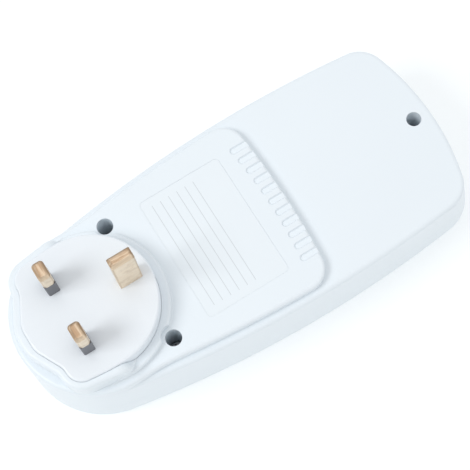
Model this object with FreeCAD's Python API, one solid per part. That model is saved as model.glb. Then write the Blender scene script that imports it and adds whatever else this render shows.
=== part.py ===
import FreeCAD, Part
import math
import os

# Plug-in energy meter, lying on its front with the pins up, in millimetres.
# Origin: on the line through the line and neutral pins, midway, at the plane that the front rests on.
# +X runs to the display end, +Y to the line pin, +Z out of the back along the pins.

# Heights above the resting plane
front_rise = 1.0
front_skin = 2.4
parting_height = 15.0
rear_height = 34.0
plate_rise = 3.5
ring_rise = 3.0
rim_rise = 5.5
face_rise = 1.0

# Body outline, seen along the pins; both ends lean out towards the front
wall = 2.2
widest_x = 79.15
half_width = 34.45
side_radius = 420.0
plug_end_x = 7.85
plug_end_lean = 1.1
display_end_x = 136.1
display_end_radius = 87.0
display_end_lean = 6.0
corner_radius = 10.0
front_corner_radius = 15.0
rear_edge_radius = 1.5
front_edge_radius = 2.5
rim_edge_radius = 1.2
seam_bevel = 0.1
lip_clearance = 0.15
lip_thickness = 1.0
lip_height = 2.0

# Raised rear plate
plate_end_x = 79.5
plate_end_radius = 286.0
plate_corner_radius = 8.0
plate_widest_x = 87.5
plate_side_step = 2.4
plate_side_radius = 533.0
plate_edge_radius = 1.2
flare_start_x = 22.0
flare_end_x = 1.0
flare_overrun = 0.3
flare_pull = 8.0
flare_rise = 0.1

# Finger grooves at the end of the plate
groove_count = 11
groove_pitch = 4.3
groove_width = 2.5
groove_depth = 0.6
groove_wall_run = 0.4
groove_length = 6.0
groove_bow_radius = 155.0

# Round plug tower
tower_x = 7.5
ring_radius = 25.2
ring_edge_radius = 0.8
ring_blend_radius = 0.5
ring_slope_top_x = 6.0
ring_slope_foot_x = -4.0
insert_radius = 22.2
insert_side_x = 3.0
insert_side_radius = 40.0
ear_x = -9.7
ear_half_width = 20.9
ear_foot_half_width = 14.2
flat_x = -14.7
flat_half_width = 4.4
ear_corner_radius = 5.6
ear_foot_radius = 6.0
flat_corner_radius = 9.0
rim_width = 2.8
rim_ear_x = -12.0
rim_ear_half_width = 22.6
rim_ear_radius = 7.8
rim_ear_foot_half_width = 14.9
rim_ear_foot_radius = 3.0
rim_flat_half_width = 4.1
rim_flat_radius = 11.0
rim_side_half_width = 25.2
rim_taper_start_x = 7.5
rim_taper_radius = 4.0
rim_tip_x = 12.8
rim_tip_half_width = 21.4
rim_slope_top_x = 4.0
rim_slope_foot_x = 13.0
insert_clearance = 0.08
insert_edge_radius = 0.8
insert_face_thickness = 3.5
insert_wall = 2.0
flange_reach = 1.0
flange_thickness = 2.0
ring_skin = 3.5
slope_sink = 0.1
shoulder_inset = 0.05

# Mains pins
pin_offset = 11.115
earth_x = 22.23
live_pin_x = 4.0
live_pin_y = 6.35
live_pin_length = 17.7
earth_pin_x = 7.92
earth_pin_y = 4.0
earth_pin_length = 22.7
pin_tip_bevel = 1.1
pin_edge_radius = 0.45
live_tip_edge_radius = 1.2
sleeve_length = 9.2
sleeve_wall = 0.5
sleeve_inset = 1.5
pin_support = 2.2
rivet_radius = 1.4

# Screws that hold the case together
plug_screw_x = 24.5
plug_screw_y = 21.8
end_screw_x = 130.0
screw_recess_radius = 2.75
end_recess_radius = 2.5
ring_relief_radius = 3.9
screw_tube_radius = 4.6
screw_boss_radius = 4.2
screw_seat_rise = 5.0
screw_web = 2.0
screw_head_radius = 2.35
screw_head_height = 2.2
screw_shank_radius = 1.5
screw_hole_radius = 1.75
screw_tip_gap = 2.6
cross_width = 0.7
cross_length = 3.2
cross_depth = 1.1

# Rating label
label_x = 37.5
label_length = 30.0
label_half_width = 22.5
label_corner_radius = 1.5
label_thickness = 0.15
label_recess = 0.2
label_clearance = 0.04

# Display
display_x = 98.0
glass_length = 40.0
glass_side_gap = 8.4
glass_thickness = 2.8
glass_clearance = 0.2
holder_wall = 1.6
view_border = 2.5
window_overlap = 0.5
window_thickness = 1.6
window_sink = 0.35
window_clearance = 0.1
window_corner_radius = 2.5
bezel_margin = 2.4
bezel_edge_radius = 0.5
strip_width = 2.4

# Buttons
key_row_x = 62.0
key_pitch = 14.0
key_length = 11.0
key_width = 6.6
key_clearance = 0.15
key_face_height = 0.3
key_edge_radius = 0.5
key_flange = 0.9
key_flange_thickness = 1.0
key_gap = 0.1
key_stem_radius = 1.5
reset_x = 51.0
reset_radius = 1.5
reset_face_height = 1.4
plunger_radius = 1.7
plunger_clearance = 0.1
plunger_length = 0.8
plunger_depth = 1.0
switch_size = 6.0
switch_height = 3.4

# Display board
strip_height = 4.2
board_thickness = 1.6
display_board_start_x = 44.0
display_board_end_margin = 2.6
display_board_side_gap = 3.7
board_corner_radius = 2.0
board_boss_radius = 2.3
board_screw_radius = 1.1
board_screw_head_radius = 2.1
board_screw_head = 1.4
board_screw_length = 5.0
display_screw_near_x = 47.6
display_screw_gap = 0.3
display_screw_near_margin = 2.9
display_screw_far_margin = 6.0
chip_x = 84.0
chip_size = 12.0
chip_thickness = 1.6
chip_leg_count = 11
leg_thickness = 0.35
crystal_y = 14.0
crystal_length = 10.5
crystal_width = 4.0
crystal_height = 3.5
cell_x = 102.0
cell_radius = 5.8
cell_length = 16.5
tag_width = 4.0
tag_thickness = 0.3
header_x = 70.5
header_length = 15.0
header_width = 3.0
display_header_height = 3.5
power_header_height = 4.5
ribbon_thickness = 0.8
ribbon_width = 12.7
ribbon_bow_share = 0.42

# Power board
power_board_gap = 2.2
power_board_start_x = 38.5
power_board_end_x = 75.2
power_board_side_gap = 5.2
power_board_corner_radius = 4.0
power_screw_end_margin = 3.9
power_screw_far_margin = 2.8
power_screw_side_margin = 3.6
dropper_x = 53.5
dropper_y = -17.5
dropper_size = (17.5, 8.0, 14.5)
reservoir_x = 67.0
reservoir_y = -14.5
reservoir_radius = 4.0
reservoir_height = 12.0
varistor_x = 47.0
varistor_y = 18.5
varistor_radius = 4.6
varistor_thickness = 4.0
resistor_x = 56.0
resistor_y = 17.0
resistor_radius = 1.8
resistor_length = 8.5
component_gap = 1.0
component_lead_radius = 0.4
diode_x = 66.0
diode_ys = (13.0, 17.5)
diode_radius = 1.35
diode_length = 5.0
meter_chip_x = 57.0
meter_chip_length = 15.4
meter_chip_width = 7.5
meter_chip_thickness = 2.4
meter_leg_count = 12
shunt_x = 46.0
shunt_width = 4.0
shunt_span = 11.0
shunt_height = 6.0
shunt_thickness = 1.2

# Socket in the front
socket_radius = 21.6
socket_edge_radius = 0.6
socket_face_thickness = 4.2
socket_flange_reach = 1.2
aperture_live_x = 4.6
aperture_live_y = 7.2
aperture_earth_x = 8.7
aperture_earth_y = 4.6
shutter_gap = 0.2
shutter_thickness = 2.5
shutter_back_x = -3.4
shutter_front_x = 2.9
shutter_half_width = 15.4
shutter_bar_half_width = 2.6
ramp_start_x = 17.9
ramp_end_x = 24.0
ramp_half_width = 3.0
guide_thickness = 1.3
rail_start_x = -6.0
spring_post_thickness = 1.5
spring_post_x = -12.5
spring_mean_radius = 1.12
spring_wire_radius = 0.2
spring_turns = 6

# Carrier and contacts
carrier_gap = 0.3
carrier_back_x = -9.0
carrier_shoulder_x = 12.0
carrier_front_x = 29.8
carrier_half_width = 18.5
carrier_neck_half_width = 6.8
chamber_half_x = 4.6
chamber_half_y = 3.8
earth_chamber_half_x = 4.2
earth_chamber_half_y = 4.4
ramp_slot_half_width = 3.6
ramp_slot_clearance = 1.1
contact_thickness = 0.8
contact_top_gap = 2.0
contact_mouth_rise = 5.0
leaf_root_length = 8.0
leaf_pinch_rise = 6.0
leaf_mouth_rise = 3.0
leaf_flare = 0.7
contact_half_gap = 1.85
contact_root_half_gap = 2.3
contact_width = 6.4
contact_tab_reach = 15.0
contact_tab_width = 3.0
lead_radius = 1.1
lead_landing = 2.5
lead_straight = 7.0
lead_rise_run = 4.0
lead_loop = 5.2
lead_rise = 1.4
lead_sway = 0.5

# Heights and places worked out from the sizes above
V = FreeCAD.Vector
big = 200.0
front_inner = front_rise + front_skin
plate_height = rear_height + plate_rise
ring_height = plate_height + ring_rise
rim_height = ring_height + rim_rise
face_height = rim_height + face_rise
plate_half_width = half_width - plate_side_step
plug_seat_height = ring_height - ring_skin
flange_height = plug_seat_height - flange_thickness
insert_ceiling = face_height - insert_face_thickness
glass_width = 2 * (half_width - glass_side_gap)
view_length = glass_length - 2 * view_border
view_width = glass_width - 2 * view_border
window_length = glass_length + 2 * window_overlap
window_width = glass_width + 2 * window_overlap
display_board_height = front_inner + glass_thickness + strip_height
display_board_back = display_board_height + board_thickness
display_board_half_width = half_width - wall - display_board_side_gap
holder_end_x = display_x + glass_length / 2 + glass_clearance + holder_wall
display_screw_far_x = holder_end_x + display_screw_gap + board_boss_radius
display_board_end_x = display_screw_far_x + display_board_end_margin
display_screw_near_y = display_board_half_width - display_screw_near_margin
display_screw_far_y = display_board_half_width - display_screw_far_margin
power_board_back = plate_height - wall - power_board_gap
power_board_height = power_board_back - board_thickness
power_board_half_width = half_width - wall - power_board_side_gap
power_screw_y = power_board_half_width - power_screw_side_margin
power_screw_near_x = power_board_start_x + power_screw_end_margin
power_screw_far_x = power_board_end_x - power_screw_far_margin
screw_seat_height = parting_height + screw_seat_rise
screw_tip_height = front_inner + screw_tip_gap
shutter_height = socket_face_thickness + shutter_gap
shutter_top = shutter_height + shutter_thickness
ramp_rise = ramp_end_x - ramp_start_x
ramp_slot_top = shutter_height + ramp_rise + ramp_slot_clearance
carrier_height = shutter_top + carrier_gap
contact_top_height = flange_height - contact_top_gap
contact_mouth_height = carrier_height + contact_mouth_rise
lead_end_x = power_board_start_x + lead_landing
side_centre_y = half_width - side_radius
key_places = [(name, key_row_x, key_pitch * (i - 1.5))
              for i, name in enumerate(("mode", "up", "down", "set"))]
switch_places = [(x, y) for name, x, y in key_places] + [(reset_x, 0.0)]
switch_face = display_board_height - switch_height
case_screw_places = [(plug_screw_x, plug_screw_y), (plug_screw_x, -plug_screw_y), (end_screw_x, 0.0)]
display_screw_places = [(x, side * y) for x, y in ((display_screw_near_x, display_screw_near_y),
                                                   (display_screw_far_x, display_screw_far_y))
                        for side in (1, -1)]
power_screw_places = [(x, side * power_screw_y) for x in (power_screw_near_x, power_screw_far_x)
                      for side in (1, -1)]


def box(x0, x1, y0, y1, z0, z1):
    """A block between two corners."""
    return Part.makeBox(x1 - x0, y1 - y0, z1 - z0, V(x0, y0, z0))


def block(x, y, length, width, z0, z1):
    """A block centred on a point, length along X and width along Y."""
    return box(x - length / 2, x + length / 2, y - width / 2, y + width / 2, z0, z1)


def post(radius, z0, z1, x, y):
    """An upright cylinder."""
    return Part.makeCylinder(radius, z1 - z0, V(x, y, z0))


def rod(radius, start, end):
    """A straight round rod between two points."""
    way = V(*end).sub(V(*start))
    return Part.makeCylinder(radius, way.Length, V(*start), way)


def fused(shapes):
    """The union of some shapes, with the seams between coplanar faces removed."""
    first = shapes[0]
    if len(shapes) == 1:
        return first
    return first.multiFuse(list(shapes[1:])).removeSplitter()


def prism(face, z0, z1):
    """A flat face drawn at height 0, raised to run from z0 to z1."""
    solid = face.extrude(V(0, 0, z1 - z0))
    solid.translate(V(0, 0, z0))
    return solid


def edges_at(shape, z):
    """The edges that lie wholly at one height."""
    found = []
    for edge in shape.Edges:
        low = edge.BoundBox.ZMin
        high = edge.BoundBox.ZMax
        if abs(low - z) < 1e-4 and abs(high - z) < 1e-4:
            found.append(edge)
    return found


def leans(face):
    """How much a face looks up: 1 for a level top, 0 for an upright side."""
    u0, u1, v0, v1 = face.ParameterRange
    return face.normalAt((u0 + u1) / 2, (v0 + v1) / 2).z


def shoulder_edges(shape, low):
    """The edges above a height that part an upright side from a top or a slope."""
    found = []
    for edge in shape.Edges:
        beside = [leans(face) for face in shape.ancestorsOfType(edge, Part.Face)]
        if edge.BoundBox.ZMax > low and min(map(abs, beside)) < 0.05 and max(beside) > 0.3:
            found.append(edge)
    return found


def upright_edges(shape):
    """The straight edges that run along Z."""
    found = []
    for edge in shape.Edges:
        box_of_edge = edge.BoundBox
        if box_of_edge.XLength < 1e-5 and box_of_edge.YLength < 1e-5:
            found.append(edge)
    return found


def round_rectangle(x0, x1, y0, y1, radius):
    """A flat rectangle with round corners, at height 0."""
    return rounded_polygon([(x0, y0), (x1, y0), (x1, y1), (x0, y1)], [radius] * 4)


def rounded_polygon(points, radii):
    """A flat face with straight sides and one rounding radius per corner, counter-clockwise."""
    count = len(points)
    tangents = []
    for i in range(count):
        corner = V(points[i][0], points[i][1], 0)
        before = V(points[i - 1][0], points[i - 1][1], 0).sub(corner).normalize()
        after = V(points[(i + 1) % count][0], points[(i + 1) % count][1], 0).sub(corner).normalize()
        half = before.getAngle(after) / 2
        reach = radii[i] / math.tan(half)
        middle = before.add(after).normalize()
        depth = radii[i] / math.sin(half) - radii[i]
        tangents.append((corner.add(before * reach), corner.add(middle * depth), corner.add(after * reach)))
    edges = []
    for i in range(count):
        start, through, end = tangents[i]
        if radii[i] > 0:
            edges.append(Part.Arc(start, through, end).toShape())
        following = tangents[(i + 1) % count][0]
        if following.sub(end).Length > 1e-6:
            edges.append(Part.LineSegment(end, following).toShape())
    return Part.Face(Part.Wire(edges))


def capsule(x, y, length, width):
    """A flat stadium shape, its length along Y."""
    radius = width / 2
    return round_rectangle(x - radius, x + radius, y - length / 2, y + length / 2, radius - 0.001)


def meeting_point(centre_a, radius_a, centre_b, radius_b):
    """Where two circles cross, on the +Y side."""
    ax, ay = centre_a
    bx, by = centre_b
    gap = math.hypot(bx - ax, by - ay)
    along = (radius_a ** 2 - radius_b ** 2 + gap ** 2) / (2 * gap)
    across = math.sqrt(radius_a ** 2 - along ** 2)
    ux = (bx - ax) / gap
    uy = (by - ay) / gap
    first = (ax + along * ux - across * uy, ay + along * uy + across * ux)
    second = (ax + along * ux + across * uy, ay + along * uy - across * ux)
    return first if first[1] > second[1] else second


def on_circle(centre, radius, towards):
    """The point of a circle in the direction of another point."""
    dx = towards[0] - centre[0]
    dy = towards[1] - centre[1]
    length = math.hypot(dx, dy)
    return V(centre[0] + dx / length * radius, centre[1] + dy / length * radius, 0)


def flipped(point):
    """The point's mirror image across the lengthwise axis."""
    return V(point.x, -point.y, point.z)


def plug_end(height):
    """The X of the round plug end's centre and its radius at a height; it meets the long sides smoothly."""
    x = plug_end_x - plug_end_lean * (rear_height - height) / (rear_height - front_rise)
    return x, side_radius - math.hypot(widest_x - x, side_centre_y)


def outline(inset, height=rear_height):
    """The body's outline at a height as a face: plug end, two long sides, two corners and the display end."""
    share = (rear_height - height) / (rear_height - front_rise)
    plug_x, plug_radius = plug_end(height)
    round_off = corner_radius + share * (front_corner_radius - corner_radius)
    end_tip = V(display_end_x + share * display_end_lean - inset, 0, 0)
    plug_centre = (plug_x, 0.0)
    side_centre = (widest_x, side_centre_y)
    end_centre = (end_tip.x + inset - display_end_radius, 0.0)
    corner = meeting_point(end_centre, display_end_radius - round_off, side_centre, side_radius - round_off)
    side_start = on_circle(side_centre, side_radius - inset, plug_centre)
    side_end = on_circle(side_centre, side_radius - inset, corner)
    end_start = on_circle(end_centre, display_end_radius - inset, corner)
    bend = V(corner[0], corner[1], 0).add((side_end.add(end_start) * 0.5).sub(V(corner[0], corner[1], 0))
                                          .normalize() * (round_off - inset))
    side_middle = V(widest_x, half_width - inset, 0)
    plug_tip = V(plug_x - plug_radius + inset, 0, 0)
    edges = [Part.Arc(flipped(side_start), plug_tip, side_start).toShape(),
             Part.Arc(side_start, side_middle, side_end).toShape(),
             Part.Arc(side_end, bend, end_start).toShape(),
             Part.Arc(end_start, end_tip, flipped(end_start)).toShape(),
             Part.Arc(flipped(end_start), flipped(bend), flipped(side_end)).toShape(),
             Part.Arc(flipped(side_end), flipped(side_middle), flipped(side_start)).toShape()]
    return Part.Face(Part.Wire(edges))


def case_form(inset, z0, z1):
    """The body's outline between two heights, ruled straight from one to the other."""
    wires = []
    for z in (z0, z1):
        wire = outline(inset, z).OuterWire
        wire.translate(V(0, 0, z))
        wires.append(wire)
    return Part.makeLoft(wires, True, True)


def plate_outline(inset):
    """The raised plate: bowed end, round corners, bowed sides that flare out to the plug end."""
    side_centre = (plate_widest_x, plate_half_width - plate_side_radius)
    end_centre = (plate_end_x - plate_end_radius, 0.0)
    corner = meeting_point(end_centre, plate_end_radius - plate_corner_radius,
                           side_centre, plate_side_radius - plate_corner_radius)
    side_end = on_circle(side_centre, plate_side_radius - inset, corner)
    end_start = on_circle(end_centre, plate_end_radius - inset, corner)
    corner_centre = V(corner[0], corner[1], 0)
    bend = corner_centre.add((side_end.add(end_start) * 0.5).sub(corner_centre)
                             .normalize() * (plate_corner_radius - inset))

    def side_point(x):
        drop = math.sqrt((plate_side_radius - inset) ** 2 - (x - plate_widest_x) ** 2)
        return V(x, side_centre[1] + drop, 0)

    start = side_point(flare_start_x)
    along = V(start.y - side_centre[1], plate_widest_x - start.x, 0).normalize()
    plug_x, plug_radius = plug_end(plate_height)
    edge_y = math.sqrt(plug_radius ** 2 - (flare_end_x - plug_x) ** 2)
    flare_end = V(flare_end_x, edge_y + flare_overrun, 0)
    poles = [flare_end, flare_end.add(V(flare_pull, flare_pull * flare_rise, 0)),
             start.sub(along * flare_pull), start]
    far_out = V(flare_end_x, half_width + wall, 0)
    back = V(plug_x - 2 * plug_radius, far_out.y, 0)
    side_middle = side_point((flare_start_x + side_end.x) / 2)

    def flare(points):
        curve = Part.BezierCurve()
        curve.setPoles(points)
        return curve.toShape()

    edges = [Part.LineSegment(flipped(back), back).toShape(),
             Part.LineSegment(back, far_out).toShape(),
             Part.LineSegment(far_out, flare_end).toShape(),
             flare(poles),
             Part.Arc(start, side_middle, side_end).toShape(),
             Part.Arc(side_end, bend, end_start).toShape(),
             Part.Arc(end_start, V(plate_end_x - inset, 0, 0), flipped(end_start)).toShape(),
             Part.Arc(flipped(end_start), flipped(bend), flipped(side_end)).toShape(),
             Part.Arc(flipped(side_end), flipped(side_middle), flipped(start)).toShape(),
             flare([flipped(point) for point in poles[::-1]]),
             Part.LineSegment(flipped(flare_end), flipped(far_out)).toShape(),
             Part.LineSegment(flipped(far_out), flipped(back)).toShape()]
    return Part.Face(Part.Wire(edges))


def insert_outline(grow):
    """The plug insert seen along the pins: a half circle, and sides that run on to soft ears and a flat back."""
    half = [(tower_x + insert_radius, insert_radius), (insert_side_x, insert_radius), (ear_x, ear_half_width),
            (ear_x, ear_foot_half_width), (flat_x, flat_half_width)]
    radii = [insert_radius, insert_side_radius, ear_corner_radius, ear_foot_radius, flat_corner_radius]
    face = rounded_polygon(half + [(x, -y) for x, y in reversed(half)], radii + radii[::-1])
    if grow:
        face = face.makeOffset2D(grow)
    return face


def insert_prism(grow, z0, z1):
    """The plug insert's outline raised between two heights."""
    return prism(insert_outline(grow), z0, z1)


def rim_outline():
    """The rim's outer line: round the ears and the back, and drawn in to the insert in front of the ears."""
    half = [(rim_tip_x, rim_tip_half_width), (rim_taper_start_x, rim_side_half_width),
            (rim_ear_x, rim_ear_half_width), (rim_ear_x, rim_ear_foot_half_width),
            (flat_x - rim_width, rim_flat_half_width)]
    radii = [0, rim_taper_radius, rim_ear_radius, rim_ear_foot_radius, rim_flat_radius]
    return rounded_polygon(half + [(x, -y) for x, y in reversed(half)], radii + radii[::-1])


def sloped_space(top_x, foot_x, height, foot_height):
    """A space that is open on the side of top_x and falls in an S of two arcs to foot_height at foot_x."""
    way = 1 if foot_x > top_x else -1
    run = abs(foot_x - top_x)
    drop = height - foot_height
    radius = (run ** 2 + drop ** 2) / (4 * drop)
    half_turn = math.atan(drop / run)
    over_x = way * radius * math.sin(half_turn)
    over_drop = radius * (1 - math.cos(half_turn))
    top = V(top_x, 0, height)
    foot = V(foot_x, 0, foot_height)
    middle = top.add(foot) * 0.5
    over = V(top.x + over_x, 0, top.z - over_drop)
    under = V(foot.x - over_x, 0, foot.z + over_drop)
    low = V(foot_x, 0, 0)
    back_low = V(-way * big, 0, 0)
    back_high = V(-way * big, 0, height + 1)
    top_high = V(top_x, 0, height + 1)
    edges = [Part.LineSegment(back_low, back_high).toShape(),
             Part.LineSegment(back_high, top_high).toShape(),
             Part.LineSegment(top_high, top).toShape(),
             Part.Arc(top, over, middle).toShape(),
             Part.Arc(middle, under, foot).toShape(),
             Part.LineSegment(foot, low).toShape(),
             Part.LineSegment(low, back_low).toShape()]
    space = Part.Face(Part.Wire(edges)).extrude(V(0, 2 * big, 0))
    space.translate(V(0, -big, 0))
    return space


def ring_blend():
    """The concave sweep from the plate up to the ring."""
    reach = ring_radius + ring_blend_radius
    top = plate_height + ring_blend_radius
    across = ring_blend_radius * (1 - math.sqrt(0.5))
    inner = ring_radius - 1
    low = plate_height - 1
    edges = [Part.LineSegment(V(inner, 0, low), V(reach, 0, low)).toShape(),
             Part.LineSegment(V(reach, 0, low), V(reach, 0, plate_height)).toShape(),
             Part.Arc(V(reach, 0, plate_height), V(ring_radius + across, 0, plate_height + across),
                      V(ring_radius, 0, top)).toShape(),
             Part.LineSegment(V(ring_radius, 0, top), V(inner, 0, top)).toShape(),
             Part.LineSegment(V(inner, 0, top), V(inner, 0, low)).toShape()]
    blend = Part.Face(Part.Wire(edges)).revolve(V(0, 0, 0), V(0, 0, 1), 360)
    blend.translate(V(tower_x, 0, 0))
    return blend


def groove_tools():
    """Shallow slots with sloping walls and round inner ends that run out over the end of the plate."""
    floor = plate_height - groove_depth
    top = plate_height + groove_depth
    half_floor = groove_width / 2 - groove_wall_run
    half_top = groove_width / 2 + groove_wall_run
    tools = []
    for i in range(groove_count):
        y = groove_pitch * (i - (groove_count - 1) / 2)
        bow = groove_bow_radius - math.sqrt(groove_bow_radius ** 2 - y ** 2)
        x = plate_end_x - groove_length - bow + groove_width / 2
        tools.append(Part.makeCone(half_floor, half_top, top - floor, V(x, y, floor)))
        corners = [V(x, y - half_floor, floor), V(x, y + half_floor, floor),
                   V(x, y + half_top, top), V(x, y - half_top, top)]
        section = Part.Face(Part.makePolygon(corners + corners[:1]))
        tools.append(section.extrude(V(plate_end_x + 1 - x, 0, 0)))
    return tools


def tube_path(points, radius):
    """A round lead: straight runs joined by tangent arcs as large as the runs allow."""
    nodes = [V(*p) for p in points]
    starts = [nodes[0]]
    edges = []
    for i in range(1, len(nodes) - 1):
        before = nodes[i - 1].sub(nodes[i])
        after = nodes[i + 1].sub(nodes[i])
        reach = 0.45 * min(before.Length, after.Length)
        before.normalize()
        after.normalize()
        half = before.getAngle(after) / 2
        bend = reach * math.tan(half)
        middle = before.add(after).normalize()
        entry = nodes[i].add(before * reach)
        leave = nodes[i].add(after * reach)
        through = nodes[i].add(middle * (bend / math.sin(half) - bend))
        edges.append(Part.LineSegment(starts[-1], entry).toShape())
        edges.append(Part.Arc(entry, through, leave).toShape())
        starts.append(leave)
    edges.append(Part.LineSegment(starts[-1], nodes[-1]).toShape())
    path = Part.Wire(edges)
    way = nodes[1].sub(nodes[0])
    profile = Part.Wire([Part.Circle(nodes[0], way, radius).toShape()])
    return path.makePipeShell([profile], True, True)


def case_screw_tube(x, y, top):
    """A tube down from the rear cover that guides one case screw."""
    return post(screw_tube_radius, screw_seat_height - 2 * screw_web, top, x, y)


def rear_cover():
    """Rear half of the case: rear face, raised plate, ring and rim round the plug, screw tubes inside."""
    body = case_form(0, parting_height, rear_height)
    body = body.makeFillet(rear_edge_radius, edges_at(body, rear_height))
    body = body.makeFillet(seam_bevel, edges_at(body, parting_height))
    plate_foot = rear_height - rear_edge_radius
    plate = prism(plate_outline(0), plate_foot, plate_height).common(case_form(shoulder_inset, plate_foot,
                                                                               plate_height))
    plate = plate.makeFillet(plate_edge_radius, edges_at(plate, plate_height))
    ring = post(ring_radius, plate_foot, ring_height, tower_x, 0)
    ring = ring.makeFillet(ring_edge_radius, edges_at(ring, ring_height))
    reliefs = fused([post(ring_relief_radius, plate_height, ring_height + 1, x, y)
                     for x, y in case_screw_places[:2]])
    ring = fused([ring, ring_blend().common(prism(outline(plate_edge_radius), plate_foot, ring_height))])
    ring = ring.cut(reliefs).common(sloped_space(ring_slope_top_x, ring_slope_foot_x, ring_height,
                                                 plate_height - slope_sink))
    rim = prism(rim_outline(), plate_foot, rim_height)
    rim = rim.common(sloped_space(rim_slope_top_x, rim_slope_foot_x, rim_height, ring_height - slope_sink))
    rim = rim.makeFillet(rim_edge_radius, shoulder_edges(rim, ring_height))
    outer = fused([body, plate, ring, rim])

    under_plate = plate_outline(wall).common(outline(wall)).Faces[0]
    cavity = [case_form(wall, parting_height - 1, rear_height - wall),
              prism(under_plate, parting_height - 1, plate_height - wall),
              insert_prism(insert_clearance + flange_reach, parting_height - 1, plug_seat_height),
              insert_prism(insert_clearance, plug_seat_height - 1, face_height + 1)]
    shell = outer.cut(fused(cavity))

    inside = [case_screw_tube(x, y, plate_height - wall) for x, y in case_screw_places[:2]]
    inside.append(case_screw_tube(end_screw_x, 0, rear_height - wall))
    for x, y in power_screw_places:
        inside.append(post(board_boss_radius, power_board_back, plate_height - wall, x, y))
    inside = fused(inside).common(case_form(wall / 2, front_rise, plate_height))
    shell = fused([shell, inside])

    cuts = groove_tools()
    for x, y in case_screw_places:
        recess_radius = end_recess_radius if x == end_screw_x else screw_recess_radius
        cuts.append(post(recess_radius, screw_seat_height, face_height, x, y))
        cuts.append(post(screw_hole_radius, parting_height - 1, screw_seat_height, x, y))
    for x, y in power_screw_places:
        cuts.append(post(board_screw_radius, power_board_back, power_board_height + board_screw_length, x, y))
    cuts.append(prism(round_rectangle(label_x, label_x + label_length, -label_half_width, label_half_width,
                                      label_corner_radius), plate_height - label_recess, plate_height + 1))
    return shell.cut(fused(cuts))


def display_rectangle(length, width, radius, grow=0.0):
    """A rounded rectangle centred on the display."""
    return round_rectangle(display_x - length / 2 - grow, display_x + length / 2 + grow,
                           -width / 2 - grow, width / 2 + grow, radius + grow)


def front_cover():
    """Front half of the case: face with the window, keys and socket opening, bosses inside."""
    body = case_form(0, front_rise, parting_height)
    body = body.makeFillet(front_edge_radius, edges_at(body, front_rise))
    body = body.makeFillet(seam_bevel, edges_at(body, parting_height))
    bezel = display_rectangle(window_length, window_width, window_corner_radius, bezel_margin)
    bezel = prism(bezel, 0, front_inner)
    bezel = bezel.makeFillet(bezel_edge_radius, edges_at(bezel, 0))
    body = fused([body, bezel])
    body = body.cut(case_form(wall, front_inner, parting_height + 1))
    lip_low = parting_height - lip_height
    lip_inside = case_form(wall + lip_clearance + lip_thickness, front_inner, rear_height)
    lip = case_form(wall + lip_clearance, lip_low, parting_height + lip_height)
    lip_root = case_form(wall / 2, lip_low, parting_height - lip_height / 2)
    lip = fused([lip.cut(lip_inside), lip_root.cut(lip_inside)])
    lip = lip.cut(post(screw_tube_radius + lip_clearance, 0, big, end_screw_x, 0))
    bosses = [post(screw_boss_radius, front_inner, screw_seat_height - 2 * screw_web, x, y)
              for x, y in case_screw_places]
    for x, y in display_screw_places:
        bosses.append(post(board_boss_radius, front_inner, display_board_height, x, y))
    bosses = fused(bosses).common(case_form(wall + lip_clearance, front_rise, rear_height))
    cover = fused([body, lip, bosses])

    window = display_rectangle(window_length, window_width, window_corner_radius, window_clearance)
    cuts = [prism(window, -1, window_sink + window_thickness),
            prism(display_rectangle(view_length, view_width, window_corner_radius), -1, front_inner + 1),
            post(socket_radius + insert_clearance, -1, front_inner + 1, tower_x, 0)]
    for name, x, y in key_places:
        cuts.append(prism(capsule(x, y, key_length + 2 * key_clearance, key_width + 2 * key_clearance),
                          -1, front_inner + 1))
    cuts.append(post(reset_radius + key_clearance, -1, front_inner + 1, reset_x, 0))
    for x, y in case_screw_places:
        cuts.append(post(screw_shank_radius, screw_tip_height, screw_seat_height, x, y))
    for x, y in display_screw_places:
        cuts.append(post(board_screw_radius, display_board_back - board_screw_length, display_board_back,
                         x, y))
    return cover.cut(fused(cuts))


def pin_neck(x, y, size_x, size_y, z0, z1):
    """The thinner shank of a sleeved pin."""
    return block(x, y, size_x - 2 * sleeve_wall, size_y - 2 * sleeve_wall, z0, z1)


def pin_tip(x, y, size_x, size_y, edge_radius, z0, z1):
    """A solid pin with soft long edges and a bevelled end."""
    def section(inset, radius):
        half_x = size_x / 2 - inset
        half_y = size_y / 2 - inset
        return round_rectangle(x - half_x, x + half_x, y - half_y, y + half_y, radius)

    shank = prism(section(0, edge_radius), z0, z1 - pin_tip_bevel)
    foot = section(0, edge_radius).OuterWire
    foot.translate(V(0, 0, z1 - pin_tip_bevel))
    end = section(pin_tip_bevel, edge_radius / 3).OuterWire
    end.translate(V(0, 0, z1))
    return fused([shank, Part.makeLoft([foot, end], True, True)])


def live_pin(side):
    """Line or neutral pin: brass tip, thin neck inside the sleeve and a riveted tail."""
    y = side * pin_offset
    foot = face_height + sleeve_length
    tip = pin_tip(0, y, live_pin_x, live_pin_y, live_tip_edge_radius, foot, face_height + live_pin_length)
    neck = pin_neck(0, y, live_pin_x, live_pin_y, contact_top_height, foot)
    tail = post(rivet_radius, contact_top_height - contact_thickness, contact_top_height, 0, y)
    return fused([tip, neck, tail])


def live_pin_sleeve(side):
    """Insulating sleeve flush with the pin above it."""
    y = side * pin_offset
    low = face_height - sleeve_inset
    high = face_height + sleeve_length
    sleeve = block(0, y, live_pin_x, live_pin_y, low, high)
    sleeve = sleeve.makeFillet(pin_edge_radius, upright_edges(sleeve))
    return sleeve.cut(pin_neck(0, y, live_pin_x, live_pin_y, low - 1, high + 1))


def earth_pin():
    """Longer unsleeved earth pin with a riveted tail."""
    pin = pin_tip(earth_x, 0, earth_pin_x, earth_pin_y, pin_edge_radius, contact_top_height,
                  face_height + earth_pin_length)
    tail = post(rivet_radius, contact_top_height - contact_thickness, contact_top_height, earth_x, 0)
    return fused([pin, tail])


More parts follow.
